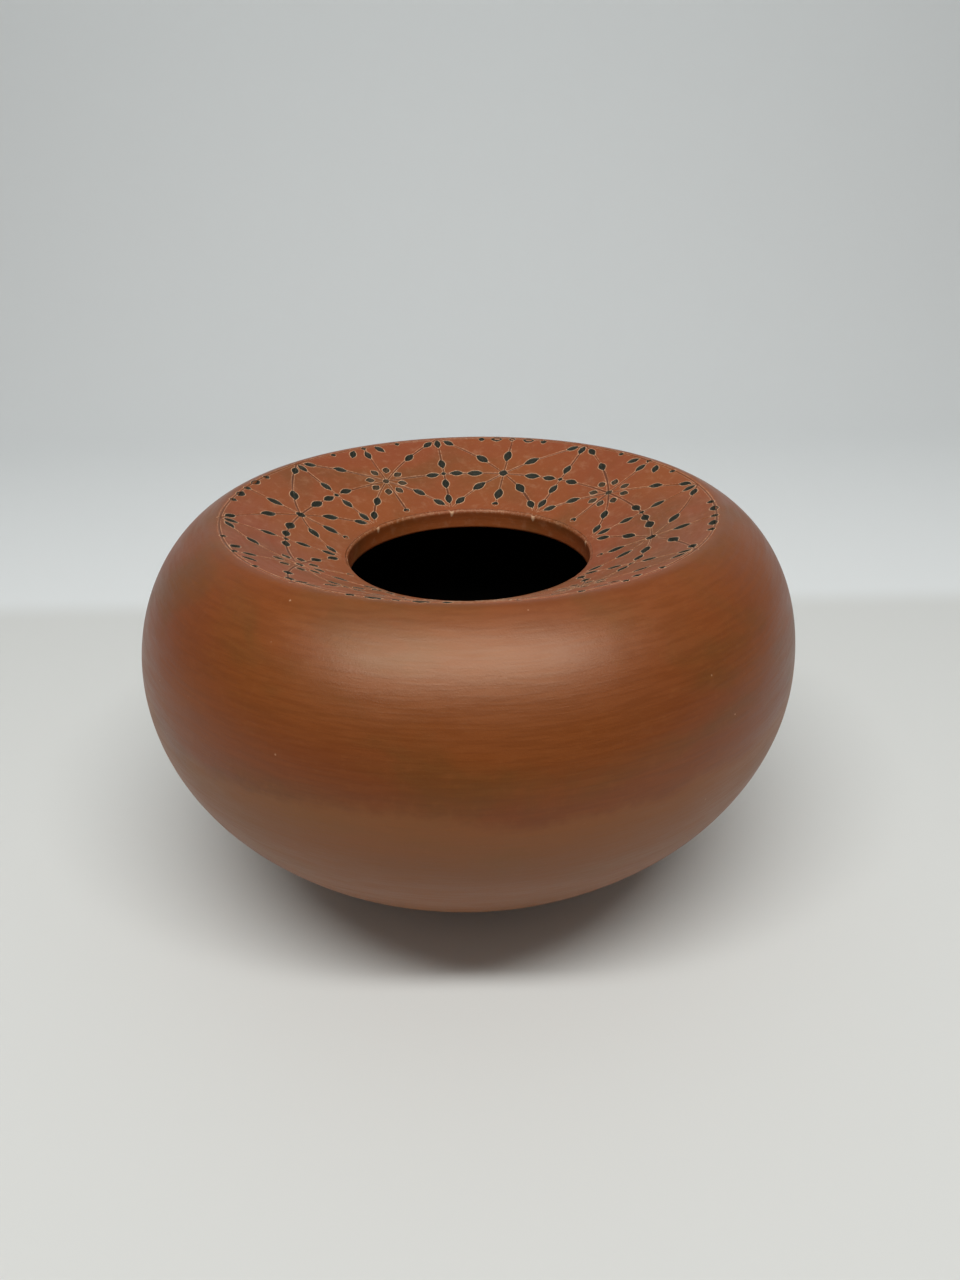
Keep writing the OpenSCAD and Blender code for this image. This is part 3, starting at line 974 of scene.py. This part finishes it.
# %% [markdown]
# ## The stain in the cuts
#
# The black was rubbed into each cut and wiped off the clay around it, so it lies as a thin
# skin over the cut's floor. A small grid is drawn into a leaf, laid on that floor, and given
# its thickness by pulling its faces down. One piece holds all the stain of one kind of motif.

# %% Lay the stain
FILM, FILM_INSET = 0.05, 0.06
LONG_PARTS, CROSS_PARTS = 8, 4
FLOWER_WORN = 0.6


def lay_stain(bm, at, share, tilt, length, width):
    """One leaf of stain on the floor of its cut."""
    r, z = collar_point(share * COLLAR_W)
    to_pot = (Matrix.Rotation(radians(-at), 4, "Z") @ Matrix.Translation((0, r, z))
              @ Matrix.Rotation(SLOPE, 4, "X") @ Matrix.Rotation(radians(tilt), 4, "Z"))
    made = bmesh.ops.create_grid(bm, x_segments=LONG_PARTS, y_segments=CROSS_PARTS, size=1)
    sheet = made["verts"]
    for vert in sheet:
        u = vert.co.x * (length / 2 - 2 * FILM_INSET)
        v = vert.co.y * max(leaf_inside(u, 0, length, width) - FILM_INSET, 0.06)
        depth = float(cut_floor(leaf_inside(u, v, length, width))) - FILM
        vert.co = (u, v, -depth)
    faces = list({f for vert in sheet for f in vert.link_faces})
    under = bmesh.ops.extrude_face_region(bm, geom=faces)["geom"]
    lowered = [g for g in under if isinstance(g, bmesh.types.BMVert)]
    bmesh.ops.translate(bm, verts=lowered, vec=(0, 0, -2 * FILM))
    bmesh.ops.transform(bm, matrix=to_pot, verts=sheet + lowered)


for node, group in cuts.items():
    bm = bmesh.new()
    for one in group:
        lay_stain(bm, *one)
    bmesh.ops.recalc_face_normals(bm, faces=bm.faces)
    loose = sum(1 for edge in bm.edges if not edge.is_manifold)
    print(node, "open edges:", loose)
    bmesh.ops.scale(bm, vec=(MM, MM, MM), verts=bm.verts)
    mesh = as_mesh(bm, node)
    write_points(mesh, hand_moved(read_points(mesh)))
    thinness = FLOWER_WORN if node == "ring_flower_stain" else 0
    mark(mesh, "worn", np.full(len(mesh.vertices), thinness))
    placed(mesh, node.replace("_stain", "_black"), stain, [node])

# %% [markdown]
# ## Floor and light
#
# The pot stands on pale card that sweeps up behind it and fades to grey in front, where the
# studio is dark; that fade is what the lower wall's shine shows as a darker band. A soft box
# high in front lights the clay and throws the shadow. A wide panel a little lower only shines,
# which gives the broad highlight on the shoulder, and a faint light overhead fills the rest.

# %% The sweep of card
CARD_HALF, CARD_FRONT, CARD_BACK, CARD_BEND, CARD_RISE = 1.6, -1.4, 0.5, 0.35, 1.6
bm = bmesh.new()
near_edge = [bm.verts.new((x, CARD_FRONT, 0)) for x in (-CARD_HALF, CARD_HALF)]
edge = bm.edges.new(near_edge)
run = bmesh.ops.extrude_edge_only(bm, edges=[edge])["geom"]
bmesh.ops.translate(bm, vec=(0, CARD_BACK - CARD_FRONT, 0),
                    verts=[g for g in run if isinstance(g, bmesh.types.BMVert)])
far = [e for e in bm.edges if all(abs(v.co.y - CARD_BACK) < 1e-6 for v in e.verts)]
bmesh.ops.spin(bm, geom=far + list(far[0].verts), cent=(0, CARD_BACK, CARD_BEND),
               axis=(1, 0, 0), angle=pi / 2, steps=24)
top = max(v.co.z for v in bm.verts)
rim = [e for e in bm.edges if all(v.co.z > top - 1e-5 for v in e.verts)]
run = bmesh.ops.extrude_edge_only(bm, edges=rim)["geom"]
bmesh.ops.translate(bm, vec=(0, 0, CARD_RISE),
                    verts=[g for g in run if isinstance(g, bmesh.types.BMVert)])
bmesh.ops.recalc_face_normals(bm, faces=bm.faces)
mesh = as_mesh(bm, "card")
mesh.shade_smooth()
card = bpy.data.objects.new("card", mesh)
bpy.context.scene.collection.objects.link(card)
paper, tree, shader = new_finish("Pale card")
place = add(tree, "TexCoord").outputs["Object"]
depth = add(tree, "SeparateXYZ", {0: place}).outputs[1]
fade = spread(tree, depth, -0.42, -0.2)
colour = tinted(tree, fade, clay(96, 94, 92), clay(215, 218, 217))
colour = tinted(tree, spread(tree, depth, 0.155, 0.185), colour, clay(229, 234, 236))
tree.links.new(colour, shader.inputs["Base Color"])
shader.inputs["Roughness"].default_value = 0.8
shader.inputs["Specular IOR Level"].default_value = 0.2
mesh.materials.append(paper)

# %% Lamps and the air around


def lamp(name, at, target, width, height, watts, colour=(1, 1, 1)):
    light = bpy.data.lights.new(name, "AREA")
    light.shape, light.size, light.size_y = "RECTANGLE", width, height
    light.energy, light.color = watts, colour
    lit = bpy.data.objects.new(name, light)
    lit.location = at
    lit.rotation_mode = "QUATERNION"
    lit.rotation_quaternion = (Vector(target) - Vector(at)).to_track_quat("-Z", "Y")
    bpy.context.scene.collection.objects.link(lit)
    return lit


def above_front(rise, away):
    return pot_top + away * Vector((0, -cos(radians(rise)), sin(radians(rise))))


pot_top = Vector((0, 0, 0.09))
shine = lamp("shine strip", above_front(59.3, 1.0), pot_top, 1.4, 0.62, 18.6, (1, 0.95, 0.86))
shine.visible_diffuse = False
soft_box = lamp("soft box", above_front(66.6, 1.0), pot_top, 1.2, 0.12, 10.3, (1, 0.985, 0.96))
soft_box.visible_glossy = False
lamp("overhead", (0, 0.35, 1.4), pot_top, 1.4, 1.0, 1.2, (0.97, 0.99, 1))

world = bpy.data.worlds.new("Studio air")
bpy.context.scene.world = world
world.use_nodes = True
world.node_tree.nodes["Background"].inputs["Color"].default_value = (1, 0.96, 0.91, 1)
world.node_tree.nodes["Background"].inputs["Strength"].default_value = 0.2

# %% [markdown]
# ## The camera
#
# The camera is a wide lens held close, a little above the pot, as a hand would hold it, so
# its right side dips by a degree.

# %% Set the camera
LENS, LOOK_DOWN, ROLL = 24.98, radians(27.47), radians(-0.91)
AIM, AWAY = Vector((0.0034, 0, 0.0662)), 0.29
view_way = Vector((0, cos(LOOK_DOWN), -sin(LOOK_DOWN)))
level_right = Vector((1, 0, 0))
straight_up = level_right.cross(view_way)
camera_right = cos(ROLL) * level_right + sin(ROLL) * straight_up
camera_up = cos(ROLL) * straight_up - sin(ROLL) * level_right
camera = bpy.data.objects.new("camera", bpy.data.cameras.new("camera"))
camera.data.lens = LENS
camera.data.clip_start = 0.01
camera.data.dof.use_dof = False
turn = Matrix((camera_right, camera_up, -view_way)).transposed()
camera.matrix_world = Matrix.Translation(AIM - AWAY * view_way) @ turn.to_4x4()
bpy.context.scene.collection.objects.link(camera)
bpy.context.scene.camera = camera
bpy.context.scene.view_settings.view_transform = "Standard"
